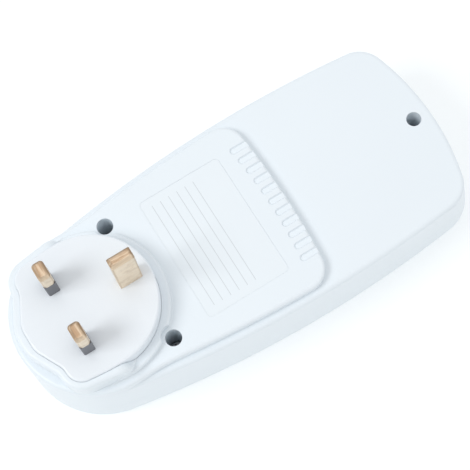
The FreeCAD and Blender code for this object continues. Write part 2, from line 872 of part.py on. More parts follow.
def plug_base():
    """The insulating cup that carries the pins, trapped under the ring by its flange."""
    cup = insert_prism(0, flange_height, face_height)
    cup = cup.makeFillet(insert_edge_radius, edges_at(cup, face_height))
    flange = insert_prism(flange_reach, flange_height, plug_seat_height)
    notches = [post(screw_tube_radius + insert_clearance, flange_height - 1, plug_seat_height + 1, x, y)
               for x, y in case_screw_places[:2]]
    cup = fused([cup, flange]).cut(fused(notches))
    cup = cup.cut(insert_prism(-insert_wall, flange_height - 1, insert_ceiling))
    supports = [block(0, side * pin_offset, live_pin_x + 2 * pin_support, live_pin_y + 2 * pin_support,
                      plug_seat_height, insert_ceiling) for side in (1, -1)]
    supports.append(block(earth_x, 0, earth_pin_x + 2 * pin_support, earth_pin_y + 2 * pin_support,
                          plug_seat_height, insert_ceiling))
    cup = fused([cup] + supports)
    for side in (1, -1):
        y = side * pin_offset
        sleeve = block(0, y, live_pin_x, live_pin_y, face_height - sleeve_inset, face_height + 1)
        sleeve = sleeve.makeFillet(pin_edge_radius, upright_edges(sleeve))
        cup = cup.cut(sleeve)
        cup = cup.cut(pin_neck(0, y, live_pin_x, live_pin_y, flange_height, face_height))
    hole = block(earth_x, 0, earth_pin_x, earth_pin_y, flange_height, face_height + 1)
    hole = hole.makeFillet(pin_edge_radius, upright_edges(hole))
    return cup.cut(hole)


def case_screw(x, y):
    """Pan-head screw with a cross recess, head up."""
    head_top = screw_seat_height + screw_head_height
    head = post(screw_head_radius, screw_seat_height, head_top, x, y)
    head = head.makeFillet(screw_head_height / 3, edges_at(head, head_top))
    shank = post(screw_shank_radius, screw_tip_height, screw_seat_height, x, y)
    cross = fused([block(x, y, cross_length, cross_width, head_top - cross_depth, head_top + 1),
                   block(x, y, cross_width, cross_length, head_top - cross_depth, head_top + 1)])
    return fused([head, shank]).cut(cross)


def board_screw(x, y, seat, up):
    """Small self-tapping screw; up is 1 when the head is above the board."""
    head_end = seat + up * board_screw_head
    shank_end = seat - up * board_screw_length
    head = post(board_screw_head_radius, min(seat, head_end), max(seat, head_end), x, y)
    shank = post(board_screw_radius, min(seat, shank_end), max(seat, shank_end), x, y)
    slot_depth = board_screw_head / 2
    slot_low = min(head_end, head_end - up * slot_depth)
    slot = block(x, y, 2 * board_screw_head_radius + 1, cross_width, slot_low, slot_low + slot_depth)
    return fused([head, shank]).cut(slot)


def rating_label():
    """Thin label in its recess on the plate."""
    gap = label_clearance
    face = round_rectangle(label_x + gap, label_x + label_length - gap, gap - label_half_width,
                           label_half_width - gap, label_corner_radius - gap)
    low = plate_height - label_recess
    return prism(face, low, low + label_thickness)


def display_window():
    """Clear window in the rebate of the bezel."""
    pane = prism(display_rectangle(window_length, window_width, window_corner_radius),
                 window_sink, window_sink + window_thickness)
    return pane.makeChamfer(seam_bevel, edges_at(pane, window_sink))


def lcd_glass():
    """Liquid crystal cell: two glasses, the front one shorter so that its contact edges are free."""
    half = glass_thickness / 2
    front = block(display_x, 0, glass_length - 2 * strip_width, glass_width, front_inner, front_inner + half)
    back = block(display_x, 0, glass_length, glass_width, front_inner + half, front_inner + glass_thickness)
    return fused([front, back])


def lcd_holder():
    """Frame that holds the glass between the cover and the board."""
    reach = glass_clearance + holder_wall
    outer = display_rectangle(glass_length, glass_width, 0.5, reach)
    inner = display_rectangle(glass_length, glass_width, 0.3, glass_clearance)
    return prism(outer, front_inner, display_board_height).cut(prism(inner, 0, big))


def zebra_strips():
    """Two elastomer strips from the glass edges to the board."""
    strips = []
    low = front_inner + glass_thickness
    for side in (1, -1):
        x = display_x + side * (glass_length - strip_width) / 2
        strips.append(block(x, 0, strip_width, glass_width - 2 * strip_width, low, display_board_height))
    return strips


def board(x0, x1, half, radius, z0, holes):
    """A circuit board with clearance holes for its screws."""
    plain = prism(round_rectangle(x0, x1, -half, half, radius), z0, z0 + board_thickness)
    drills = [post(board_screw_radius, z0 - 1, z0 + board_thickness + 1, x, y) for x, y in holes]
    return plain.cut(fused(drills))


def key(x, y):
    """A key: rounded cap, a flange behind the cover and a stem down to its switch."""
    cap = prism(capsule(x, y, key_length, key_width), key_face_height, front_inner + key_gap)
    cap = cap.makeFillet(key_edge_radius, edges_at(cap, key_face_height))
    low = front_inner + key_gap
    flange = prism(capsule(x, y, key_length + 2 * key_flange, key_width + 2 * key_flange),
                   low, low + key_flange_thickness)
    stem = post(key_stem_radius, low, switch_face - plunger_length, x, y)
    return fused([cap, flange, stem])


def reset_key():
    """The small sunk key that needs a pointed tool."""
    low = front_inner + key_gap
    cap = post(reset_radius, reset_face_height, low, reset_x, 0)
    cap = cap.makeFillet(key_edge_radius, edges_at(cap, reset_face_height))
    flange = post(reset_radius + key_flange, low, low + key_flange_thickness, reset_x, 0)
    stem = post(key_stem_radius, low, switch_face - plunger_length, reset_x, 0)
    return fused([cap, flange, stem])


def plunger(x, y):
    """The moving top of a push switch."""
    return post(plunger_radius, switch_face - plunger_length, switch_face + plunger_depth, x, y)


def push_switch(x, y):
    """The fixed body of a push switch with a well for its plunger."""
    body = block(x, y, switch_size, switch_size, switch_face, display_board_height)
    body = body.makeChamfer(seam_bevel * 2, upright_edges(body))
    return body.cut(post(plunger_radius + plunger_clearance, switch_face - 1,
                         switch_face + 2 * plunger_depth, x, y))


def chip_with_legs(x, y, size_x, size_y, thickness, legs, sides, seat, up):
    """A flat chip package whose legs reach down to the board on two or four sides."""
    leg_pitch_room = size_y * 0.86
    low = min(seat, seat + up * thickness)
    high = max(seat, seat + up * thickness)
    body = block(x, y, size_x, size_y, low, high)
    body = body.makeChamfer(seam_bevel, upright_edges(body))
    pieces = [body]
    foot_low = min(seat, seat + up * thickness / 2)
    foot_high = max(seat, seat + up * thickness / 2)
    for i in range(legs):
        shift = leg_pitch_room * (i / (legs - 1) - 0.5)
        for side in (1, -1):
            reach = side * (size_x / 2 + leg_thickness)
            pieces.append(block(x + reach, y + shift, 2 * leg_thickness, leg_thickness, foot_low, foot_high))
            if sides == 4:
                reach = side * (size_y / 2 + leg_thickness)
                pieces.append(block(x + shift, y + reach, leg_thickness, 2 * leg_thickness,
                                    foot_low, foot_high))
    return fused(pieces)


def crystal():
    """Metal-can crystal lying on the board."""
    can = block(chip_x, crystal_y, crystal_length, crystal_width, display_board_back,
                display_board_back + crystal_height)
    return can.makeFillet(crystal_width / 3, upright_edges(can))


def backup_cell():
    """Round backup cell lying along Y on the board."""
    z = display_board_back + cell_radius
    half = cell_length / 2
    return rod(cell_radius, (cell_x, -half, z), (cell_x, half, z))


def cell_tags():
    """Two spot-welded tags from the ends of the cell down to the board."""
    tags = []
    for side in (1, -1):
        y = side * (cell_length + tag_thickness) / 2
        tags.append(block(cell_x, y, tag_width, tag_thickness, display_board_back,
                          display_board_back + cell_radius * 1.3))
    return tags


def ribbon_cable():
    """Flat cable that bows from one header to the other."""
    low = display_board_back + display_header_height
    high = power_board_height - power_header_height
    middle = (low + high) / 2
    half = ribbon_thickness / 2
    ribbon_bow = ribbon_bow_share * (high - low)

    def line(shift, bow):
        return Part.Arc(V(header_x + shift, 0, low), V(header_x + bow, 0, middle),
                        V(header_x + shift, 0, high))

    outer = line(half, half + ribbon_bow).toShape()
    inner = line(-half, ribbon_bow - half).toShape()
    ends = [Part.LineSegment(V(header_x - half, 0, z), V(header_x + half, 0, z)).toShape()
            for z in (low, high)]
    face = Part.Face(Part.Wire(Part.__sortEdges__([outer, ends[1], inner, ends[0]])))
    cable = face.extrude(V(0, ribbon_width, 0))
    cable.translate(V(0, -ribbon_width / 2, 0))
    return cable


def on_leads(body, x, points):
    """A component on wire leads: its body and the lead ends that stand on the power board."""
    leads = [post(component_lead_radius, z, power_board_height, x, y) for y, z in points]
    return fused([body] + leads)


def dropper_capacitor():
    """Boxed suppression capacitor that feeds the low-voltage supply."""
    length, width, height = dropper_size
    can = block(dropper_x, dropper_y, length, width, power_board_height - height, power_board_height)
    return can.makeFillet(component_gap / 2, upright_edges(can))


def reservoir_capacitor():
    """Round electrolytic capacitor with a rolled groove near its seal."""
    low = power_board_height - reservoir_height
    can = post(reservoir_radius, low, power_board_height, reservoir_x, reservoir_y)
    can = can.makeFillet(component_gap / 2, edges_at(can, low))
    neck = Part.makeTorus(reservoir_radius, component_gap / 2,
                          V(reservoir_x, reservoir_y, power_board_height - 2 * component_gap))
    return can.cut(neck)


def varistor():
    """Disc that clamps surges, standing on edge on two leads."""
    z = power_board_height - component_gap - varistor_radius
    half = varistor_thickness / 2
    disc = rod(varistor_radius, (varistor_x - half, varistor_y, z), (varistor_x + half, varistor_y, z))
    disc = disc.makeFillet(half * 0.6, disc.Edges[0:1] + disc.Edges[2:3])
    return on_leads(disc, varistor_x, [(varistor_y + side * varistor_radius / 2, z) for side in (-1, 1)])


def surge_resistor():
    """Resistor lying along Y with its two leads bent to the board."""
    z = power_board_height - component_gap - resistor_radius
    half = resistor_length / 2
    body = rod(resistor_radius, (resistor_x, resistor_y - half, z), (resistor_x, resistor_y + half, z))
    reach = half + component_gap
    wire = rod(component_lead_radius, (resistor_x, resistor_y - reach, z),
               (resistor_x, resistor_y + reach, z))
    low = z - component_lead_radius
    return on_leads(fused([body, wire]), resistor_x, [(resistor_y - reach, low), (resistor_y + reach, low)])


def rectifier_diode(y):
    """Diode lying along X with its two leads bent to the board."""
    z = power_board_height - component_gap - diode_radius
    half = diode_length / 2
    reach = half + component_gap
    body = rod(diode_radius, (diode_x - half, y, z), (diode_x + half, y, z))
    wire = rod(component_lead_radius, (diode_x - reach, y, z), (diode_x + reach, y, z))
    low = z - component_lead_radius
    leads = [post(component_lead_radius, low, power_board_height, diode_x + side * reach, y)
             for side in (1, -1)]
    return fused([body, wire] + leads)


def current_shunt():
    """Bridge of resistance strip that the load current passes."""
    low = power_board_height - shunt_height
    bridge = block(shunt_x, 0, shunt_width, shunt_span, low, power_board_height)
    gap = block(shunt_x, 0, shunt_width + 1, shunt_span - 2 * shunt_thickness, low + shunt_thickness, big)
    return bridge.cut(gap)


def aperture_tools(z0, z1):
    """The three openings of the socket."""
    tools = [block(0, side * pin_offset, aperture_live_x, aperture_live_y, z0, z1) for side in (1, -1)]
    tools.append(block(earth_x, 0, aperture_earth_x, aperture_earth_y, z0, z1))
    return tools


def socket_face():
    """Insulating socket front with three apertures, shutter guides and a post for the shutter spring."""
    disc = post(socket_radius, 0, socket_face_thickness, tower_x, 0)
    disc = disc.makeFillet(socket_edge_radius, edges_at(disc, 0))
    flange = post(socket_radius + socket_flange_reach, front_inner, socket_face_thickness, tower_x, 0)
    pieces = [disc, flange]
    inner_y = ramp_half_width + shutter_gap
    outer_y = shutter_half_width + shutter_gap
    low = front_inner
    for side in (1, -1):
        guide_y = side * (inner_y + guide_thickness / 2)
        guide_start = shutter_front_x + shutter_gap
        pieces.append(block((guide_start + ramp_start_x) / 2, guide_y, ramp_start_x - guide_start,
                            guide_thickness, low, carrier_height))
        rail_y = side * (outer_y + guide_thickness / 2)
        pieces.append(box(rail_start_x, shutter_front_x + 1, rail_y - guide_thickness / 2,
                          rail_y + guide_thickness / 2, low, carrier_height))
    pieces.append(box(spring_post_x - spring_post_thickness, spring_post_x, -ramp_half_width, ramp_half_width,
                      low, carrier_height))
    return fused(pieces).cut(fused(aperture_tools(-1, socket_face_thickness + 1)))


def socket_shutter():
    """Sliding shutter: two wings over the live apertures and a ramp behind the earth aperture."""
    wings = box(shutter_back_x, shutter_front_x, -shutter_half_width, shutter_half_width,
                shutter_height, shutter_top)
    wings = wings.makeFillet(1.0, upright_edges(wings))
    bar = box(shutter_back_x, ramp_start_x + 0.5, -shutter_bar_half_width, shutter_bar_half_width,
              shutter_height, shutter_top)
    corners = [V(ramp_start_x, 0, shutter_height), V(ramp_end_x, 0, shutter_height + ramp_rise),
               V(ramp_start_x, 0, shutter_height + ramp_rise)]
    ramp = Part.Face(Part.makePolygon(corners + corners[:1])).extrude(V(0, 2 * ramp_half_width, 0))
    ramp.translate(V(0, -ramp_half_width, 0))
    return fused([wings, bar, ramp])


def shutter_spring():
    """Fine compression spring between the post and the shutter."""
    length = shutter_back_x - spring_post_x - 2 * spring_wire_radius
    helix = Part.makeHelix(length / spring_turns, length, spring_mean_radius)
    profile = Part.Wire([Part.Circle(V(spring_mean_radius, 0, 0), V(0, 1, 0), spring_wire_radius).toShape()])
    coil = Part.Wire(helix.Edges).makePipeShell([profile], True, True)
    coil.rotate(V(0, 0, 0), V(0, 1, 0), 90)
    coil.translate(V(spring_post_x + spring_wire_radius, 0, shutter_height + shutter_thickness / 2))
    return coil


def contact_leaf():
    """One spring leaf in the XZ plane: straight root, slight pinch and a flared mouth."""
    top = contact_top_height
    mouth = contact_mouth_height
    inner = [(contact_root_half_gap, top), (contact_root_half_gap, top - leaf_root_length),
             (contact_half_gap, mouth + leaf_pinch_rise), (contact_half_gap, mouth + leaf_mouth_rise),
             (contact_root_half_gap + leaf_flare, mouth)]
    outer = [(x + contact_thickness, z) for x, z in reversed(inner)]
    corners = [V(x, 0, z) for x, z in inner + outer]
    leaf = Part.Face(Part.makePolygon(corners + corners[:1])).extrude(V(0, contact_width, 0))
    leaf.translate(V(0, -contact_width / 2, 0))
    return leaf


def spring_contact():
    """A U of two leaves hung from a bridge, with the hole for the pin's rivet."""
    leaf = contact_leaf()
    other = leaf.mirror(V(0, 0, 0), V(1, 0, 0))
    half = contact_root_half_gap + contact_thickness
    bridge = box(-half, half, -contact_width / 2, contact_width / 2,
                 contact_top_height - contact_thickness, contact_top_height)
    hole = post(rivet_radius, 0, big, 0, 0)
    return fused([leaf, other, bridge]).cut(hole)


def live_contact(side):
    """Line or neutral contact with a tab for its lead."""
    contact = spring_contact()
    tab = box(contact_root_half_gap, contact_tab_reach, -contact_tab_width / 2, contact_tab_width / 2,
              contact_top_height - contact_thickness, contact_top_height)
    contact = fused([contact, tab])
    contact.translate(V(0, side * pin_offset, 0))
    return contact


def earth_contact():
    """Earth contact, turned so that it grips the flat sides of the earth pin."""
    contact = spring_contact()
    contact.rotate(V(0, 0, 0), V(0, 0, 1), 90)
    contact.translate(V(earth_x, 0, 0))
    return contact


def contact_carrier():
    """Insulating block with a chamber for each contact."""
    top = flange_height
    wide = box(carrier_back_x, carrier_shoulder_x, -carrier_half_width, carrier_half_width,
               carrier_height, top)
    neck = box(carrier_shoulder_x, carrier_front_x, -carrier_neck_half_width, carrier_neck_half_width,
               carrier_height, top)
    carrier = fused([wide, neck])
    back_edges = [edge for edge in upright_edges(carrier) if edge.BoundBox.XMin < carrier_back_x + 1]
    carrier = carrier.makeFillet(1.0, back_edges)
    cuts = []
    for side in (1, -1):
        y = side * pin_offset
        cuts.append(block(0, y, 2 * chamber_half_x, 2 * chamber_half_y, 0, big))
        slot_low = contact_top_height - contact_thickness - shutter_gap
        slot_half = contact_tab_width / 2 + shutter_gap
        cuts.append(box(0, contact_tab_reach, y - slot_half, y + slot_half, slot_low, big))
    cuts.append(block(earth_x, 0, 2 * earth_chamber_half_x, 2 * earth_chamber_half_y, 0, big))
    cuts.append(box(carrier_shoulder_x - 0.5, ramp_end_x + earth_chamber_half_x / 2, -ramp_slot_half_width,
                    ramp_slot_half_width, 0, ramp_slot_top))
    return carrier.cut(fused(cuts))


def live_lead(side):
    """Lead from a contact tab down under the power board and up to it."""
    y = side * pin_offset
    z = contact_top_height - contact_thickness / 2
    bend_x = contact_tab_reach + lead_straight
    low = power_board_height - lead_loop
    points = [(contact_tab_reach, y, z), (bend_x, y, z),
              (bend_x + lead_straight, y + side * lead_sway, power_board_height - lead_loop / 2),
              (lead_end_x - lead_rise_run, y + side * lead_sway / 2, low),
              (lead_end_x, y, low + lead_rise), (lead_end_x, y, power_board_height)]
    return tube_path(points, lead_radius)


nodes = {
    "rear_cover": rear_cover(),
    "front_cover": front_cover(),
    "plug_base": plug_base(),
    "line_pin": live_pin(1),
    "neutral_pin": live_pin(-1),
    "earth_pin": earth_pin(),
    "line_pin_sleeve": live_pin_sleeve(1),
    "neutral_pin_sleeve": live_pin_sleeve(-1),
    "case_screws": [case_screw(x, y) for x, y in case_screw_places],
    "rating_label": rating_label(),
    "display_window": display_window(),
    "lcd_glass": lcd_glass(),
    "lcd_holder": lcd_holder(),
    "zebra_strips": zebra_strips(),
    "display_board": board(display_board_start_x, display_board_end_x, display_board_half_width,
                           board_corner_radius, display_board_height, display_screw_places),
    "display_board_screws": [board_screw(x, y, display_board_back, 1) for x, y in display_screw_places],
    "switch_bodies": [push_switch(x, y) for x, y in switch_places],
    "controller_chip": chip_with_legs(chip_x, 0, chip_size, chip_size, chip_thickness, chip_leg_count, 4,
                                      display_board_back, 1),
    "crystal": crystal(),
    "backup_cell": backup_cell(),
    "cell_tags": cell_tags(),
    "display_header": block(header_x, 0, header_width, header_length, display_board_back,
                            display_board_back + display_header_height),
    "power_header": block(header_x, 0, header_width, header_length, power_board_height - power_header_height,
                          power_board_height),
    "ribbon_cable": ribbon_cable(),
    "power_board": board(power_board_start_x, power_board_end_x, power_board_half_width,
                         power_board_corner_radius, power_board_height, power_screw_places),
    "power_board_screws": [board_screw(x, y, power_board_height, -1) for x, y in power_screw_places],
    "dropper_capacitor": dropper_capacitor(),
    "reservoir_capacitor": reservoir_capacitor(),
    "varistor": varistor(),
    "surge_resistor": surge_resistor(),
    "rectifier_diodes": [rectifier_diode(y) for y in diode_ys],
    "metering_chip": chip_with_legs(meter_chip_x, 0, meter_chip_width, meter_chip_length,
                                    meter_chip_thickness, meter_leg_count, 2, power_board_height, -1),
    "current_shunt": current_shunt(),
    "socket_face": socket_face(),
    "socket_shutter": socket_shutter(),
    "shutter_spring": shutter_spring(),
    "contact_carrier": contact_carrier(),
    "line_contact": live_contact(1),
    "neutral_contact": live_contact(-1),
    "earth_contact": earth_contact(),
    "line_lead": live_lead(1),
    "neutral_lead": live_lead(-1),
    "reset_button": reset_key(),
    "reset_plunger": plunger(reset_x, 0),
}
for key_name, key_x, key_y in key_places:
    nodes[key_name + "_button"] = key(key_x, key_y)
    nodes[key_name + "_plunger"] = plunger(key_x, key_y)

os.makedirs("parts", exist_ok=True)
for node_name, made in nodes.items():
    solids = []
    for shape in made if isinstance(made, list) else [made]:
        solids.extend(shape.Solids)
    shape = solids[0] if len(solids) == 1 else Part.makeCompound(solids)
    shape.exportStep(os.path.join("parts", node_name + ".step"))
    sound = all(solid.isValid() for solid in solids)
    volume = round(sum(solid.Volume for solid in solids), 1)
    print(node_name, len(solids), "solids", volume, "mm3", "valid" if sound else "BAD")
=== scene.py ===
"""Plug-in energy meter: finishes, printed and raised trim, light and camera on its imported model, in metres."""
import math

import bpy
import numpy as np
from mathutils import Matrix, Vector


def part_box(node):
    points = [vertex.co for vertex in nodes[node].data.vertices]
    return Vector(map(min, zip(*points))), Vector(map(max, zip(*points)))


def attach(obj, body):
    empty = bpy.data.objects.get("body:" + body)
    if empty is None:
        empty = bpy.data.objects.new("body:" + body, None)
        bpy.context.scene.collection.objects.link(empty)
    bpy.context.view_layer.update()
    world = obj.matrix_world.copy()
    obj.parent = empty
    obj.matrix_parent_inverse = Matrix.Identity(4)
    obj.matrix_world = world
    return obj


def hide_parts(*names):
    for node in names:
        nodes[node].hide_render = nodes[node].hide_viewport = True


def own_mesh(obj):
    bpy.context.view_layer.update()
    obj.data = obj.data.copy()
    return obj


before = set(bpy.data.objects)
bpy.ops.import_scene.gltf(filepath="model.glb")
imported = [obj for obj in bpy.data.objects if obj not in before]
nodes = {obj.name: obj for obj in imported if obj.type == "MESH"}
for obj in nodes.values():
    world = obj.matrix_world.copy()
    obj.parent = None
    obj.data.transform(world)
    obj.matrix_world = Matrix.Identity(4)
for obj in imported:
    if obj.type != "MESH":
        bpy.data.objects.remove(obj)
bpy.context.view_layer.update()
mm = 0.001


# ---- Node trees

class Recipe:
    """A node tree in the making: each add() places a node, links the sockets it is fed and sets plain values."""

    # Where a Mix node keeps the sockets of its colour form.
    MIX_FACTOR, MIX_FIRST, MIX_SECOND, MIX_COLOR = 0, 6, 7, 2

    def __init__(self, tree):
        self.tree = tree

    def add(self, kind, feeds=None, **options):
        node = self.tree.nodes.new(kind)
        for name, value in options.items():
            setattr(node, name, value)
        self.feed(node, feeds or {})
        return node

    def feed(self, node, feeds):
        """Links a node's inputs to sockets, or sets them to plain values."""
        for name, value in feeds.items():
            if isinstance(value, bpy.types.NodeSocket):
                self.tree.links.new(value, node.inputs[name])
            else:
                node.inputs[name].default_value = value

    def sum(self, operation, *values):
        """One Math node on one to three values or sockets."""
        return self.add("ShaderNodeMath", dict(enumerate(values)), operation=operation).outputs[0]

    def ramp(self, value, low, high):
        """0 up to low, 1 from high on, and a smooth step between them; it falls instead where low is above high."""
        node = self.add("ShaderNodeMapRange", {"Value": value, "From Min": low, "From Max": high},
                        interpolation_type="SMOOTHSTEP")
        return node.outputs["Result"]

    def blend(self, mask, first, second):
        """Colour first where mask is 0 and second where it is 1."""
        feeds = {self.MIX_FACTOR: mask, self.MIX_FIRST: first, self.MIX_SECOND: second}
        return self.add("ShaderNodeMix", feeds, data_type="RGBA").outputs[self.MIX_COLOR]

    def noise(self, place, scale, detail=2.0, roughness=0.5):
        """Noise of about 0.5, with that many waves to the metre."""
        node = self.add("ShaderNodeTexNoise", {"Vector": place, "Scale": scale, "Detail": detail,
                                               "Roughness": roughness})
        return node.outputs["Fac"]

    def place(self):
        """Coordinates on the object, in metres."""
        return self.add("ShaderNodeTexCoord").outputs["Object"]

    def stretched(self, place, scales, turn=(0.0, 0.0, 0.0)):
        """Coordinates turned and scaled; a pattern runs long where the scale is small."""
        node = self.add("ShaderNodeMapping", {"Vector": place, "Scale": scales, "Rotation": turn})
        return node.outputs[0]


def group(name, inputs, outputs):
    """An empty shader group with float inputs and their usual values, float outputs, and its input node's sockets."""
    tree = bpy.data.node_groups.new(name, "ShaderNodeTree")
    for label, value in inputs.items():
        socket = tree.interface.new_socket(label, in_out="INPUT", socket_type="NodeSocketFloat")
        socket.default_value = value
    for label in outputs:
        tree.interface.new_socket(label, in_out="OUTPUT", socket_type="NodeSocketFloat")
    recipe = Recipe(tree)
    recipe.given = recipe.add("NodeGroupInput").outputs
    recipe.close = lambda results: recipe.add("NodeGroupOutput", results)
    return recipe


def moulding_grain():
    """Spark-eroded mould texture: fine pits over a slight waviness, and a slow drift of tone from the melt."""
    r = group("moulding_grain", {"Grain Scale": 2600.0, "Waviness": 0.3}, ["Height", "Tone"])
    place = r.place()
    pits = r.noise(place, r.given["Grain Scale"], 3.0, 0.6)
    waves = r.noise(place, 90.0, 1.0)
    height = r.sum("MULTIPLY_ADD", waves, r.given["Waviness"], pits)
    tone = r.noise(place, 34.0, 2.0, 0.4)
    r.close({"Height": height, "Tone": tone})
    return r.tree


def handling_marks():
    """Rub marks: faint crossing scuffs and soft patches where a hand polishes the surface."""
    r = group("handling_marks", {"Scuff Scale": 260.0, "Patch Scale": 28.0}, ["Scuffs", "Patches"])
    place = r.place()
    lines = []
    for turn, shift in ((0.4, 1.0), (-0.9, 1.7)):
        along = r.stretched(place, (0.06, 1.0, 1.0), (0.0, 0.0, turn))
        scale = r.sum("MULTIPLY", r.given["Scuff Scale"], shift)
        lines.append(r.ramp(r.noise(along, scale, 2.0), 0.66, 0.74))
    scuffs = r.sum("MAXIMUM", *lines)
    sparse = r.ramp(r.noise(place, 45.0, 1.0), 0.5, 0.66)
    patches = r.ramp(r.noise(place, r.given["Patch Scale"], 2.0), 0.42, 0.68)
    r.close({"Scuffs": r.sum("MULTIPLY", scuffs, sparse), "Patches": patches})
    return r.tree


def drawn_lines():
    """Lines that a die leaves along Z on drawn metal, and the slow stain over them."""
    r = group("drawn_lines", {"Line Scale": 2200.0}, ["Lines", "Stain"])
    place = r.place()
    lines = r.noise(r.stretched(place, (1.0, 1.0, 0.03)), r.given["Line Scale"], 3.0, 0.7)
    r.close({"Lines": lines, "Stain": r.noise(place, 260.0, 3.0, 0.6)})
    return r.tree


def pin_zones():
    """Masks on a square pin, from its middle, half widths and top.

    The masks, in order: the end, all above the bevel's foot; painted shade along the +X and +Y sides; painted shade
    on the upright corners; and a painted highlight in a strip along the -Y side.
    """
    r = group("pin_zones", {"X": 0.0, "Y": 0.0, "Half X": 0.002, "Half Y": 0.002, "Top": 0.06},
              ["End", "Painted Shade", "Corner Shade", "Painted Highlight"])
    here = r.add("ShaderNodeSeparateXYZ", {0: r.place()}).outputs
    off = [r.sum("SUBTRACT", here[way], r.given[way]) for way in "XY"]
    past = [r.sum("SUBTRACT", off[k], r.given["Half " + way]) for k, way in enumerate("XY")]
    out = [r.sum("SUBTRACT", r.sum("ABSOLUTE", off[k]), r.given["Half " + way]) for k, way in enumerate("XY")]
    # A distance, and the two values of it in millimetres between which the mask goes from 0 to 1.
    zones = {"End": (r.sum("SUBTRACT", here["Z"], r.given["Top"]), -1.4, -0.95),
             # Painted shade on the end's +X and +Y sides, painted shade on the upright corners, and a painted
             # highlight along the -Y side.
             "Painted Shade": (r.sum("MAXIMUM", *past), -0.9, -0.2),
             "Corner Shade": (r.sum("MINIMUM", *out), -0.75, -0.1),
             "Painted Highlight": (r.sum("ADD", off[1], r.given["Half Y"]), 1.9, 0.2)}
    r.close({name: r.ramp(distance, start * mm, full * mm) for name, (distance, start, full) in zones.items()})
    return r.tree


grain_group = moulding_grain()
marks_group = handling_marks()
lines_group = drawn_lines()
zones_group = pin_zones()


# ---- Finishes

def finish(name):
    """A new material: its recipe, with the Principled shader as recipe.skin."""
    material = bpy.data.materials.new(name)
    material.use_nodes = True
    material.node_tree.nodes.clear()
    r = Recipe(material.node_tree)
    r.skin = r.add("ShaderNodeBsdfPrincipled")
    r.tree.links.new(r.skin.outputs[0], r.add("ShaderNodeOutputMaterial").inputs["Surface"])
    r.material = material
    return r


def spaced(feeds):
    """Keyword names as socket names, such as Base Color."""
    return {name.replace("_", " "): value for name, value in feeds.items()}


def use(r, tree, **values):
    """Places a shared group with its own values and gives its outputs."""
    return r.add("ShaderNodeGroup", spaced(values), node_tree=tree).outputs


def tint(color, factor):
    """The colour times a factor, with its alpha."""
    return tuple(c * factor for c in color[:3]) + (1.0,)


def put(r, **feeds):
    """Feeds the shader: sockets are linked, plain values set on the shader itself."""
    r.feed(r.skin, spaced(feeds))


def relief(r, height, depth, strength=0.5):
    """Bump of that depth in metres."""
    bump = r.add("ShaderNodeBump", {"Height": height, "Distance": depth, "Strength": strength})
    put(r, Normal=bump.outputs["Normal"])


def moulded(name, color, rough=0.36, grain=2600.0, depth=0.00002, drift=0.03, scuffed=0.08):
    """Moulded plastic: grain in relief, a slow drift of tone, and handling that polishes or scuffs the gloss."""
    polish_share = 0.35
    r = finish(name)
    grain_out = use(r, grain_group, Grain_Scale=grain)
    marks = use(r, marks_group)
    patchy = r.sum("MULTIPLY_ADD", marks["Patches"], -polish_share * scuffed, rough)
    put(r, Base_Color=r.blend(grain_out["Tone"], tint(color, 1 - drift), tint(color, 1 + drift)),
        Roughness=r.sum("MULTIPLY_ADD", marks["Scuffs"], scuffed, patchy))
    relief(r, grain_out["Height"], depth)
    return r.material


def pin_finish(name, x, y, half_x, half_y, top, tone=1.0):
    """Pale brass pin: blotchy sides with darker corners, and a redder end, streaked along its length.

    The sides' pale blotches are painted highlight and their darker corners painted shade. The end is paler along its
    -Y side and dark along +X and +Y: a painted highlight and painted shade. The pin's place and size are in
    millimetres.
    """
    # The third colour is a painted highlight for the sides' blotches, the fourth painted shade for the upright
    # corners.
    dull, pale, highlight_pale, corner = ((0.73, 0.585, 0.42, 1), (0.88, 0.735, 0.555, 1), (0.93, 0.81, 0.635, 1),
                                  (0.54, 0.40, 0.26, 1))
    # The first two colours are the end's own, scaled by tone; a tone below 1 is painted shade on that pin's end. The
    # third is a painted highlight for the -Y strip, the fourth painted shade for the +X and +Y sides.
    red, golden, painted_highlight_pale, painted_shade_dark = (tint((0.57, 0.39, 0.25), tone), tint((0.80, 0.63, 0.46), tone),
                               (0.97, 0.82, 0.63, 1), (0.27, 0.19, 0.13, 1))
    r = finish(name)
    drawn = use(r, lines_group)
    zones = use(r, zones_group, X=x * mm, Y=y * mm, Half_X=half_x * mm, Half_Y=half_y * mm, Top=top * mm)
    along = (1.0, 0.12, 1.0) if half_y > half_x else (0.12, 1.0, 1.0)
    streaks = r.ramp(r.noise(r.stretched(r.place(), along), 1100.0, 3.0, 0.65), 0.38, 0.62)
    # Random blotches where a painted highlight is laid on the sides.
    highlight_blots = r.ramp(r.noise(r.place(), 480.0, 2.0, 0.5), 0.34, 0.66)
    side = r.blend(r.ramp(drawn["Stain"], 0.38, 0.62), dull, pale)
    side = r.blend(r.sum("MULTIPLY", highlight_blots, 0.5), side, highlight_pale)
    # Painted shade on the upright corners.
    side = r.blend(r.sum("MULTIPLY", zones["Corner Shade"], 0.75), side, corner)
    end = r.blend(streaks, red, golden)
    # Painted highlight along the end's -Y side.
    end = r.blend(r.sum("MULTIPLY", zones["Painted Highlight"], 0.75), end, painted_highlight_pale)
    # Painted shade along the end's +X and +Y sides.
    end = r.blend(r.sum("MULTIPLY", zones["Painted Shade"], 0.75), end, painted_shade_dark)
    side_rough, end_extra, stain_extra = 0.24, 0.10, 0.16
    rough = r.sum("MULTIPLY_ADD", zones["End"], end_extra, side_rough)
    put(r, Base_Color=r.blend(zones["End"], side, end), Metallic=1.0,
        Roughness=r.sum("MULTIPLY_ADD", drawn["Stain"], stain_extra, rough))
    relief(r, drawn["Lines"], 0.000006, 0.25)
    return r.material


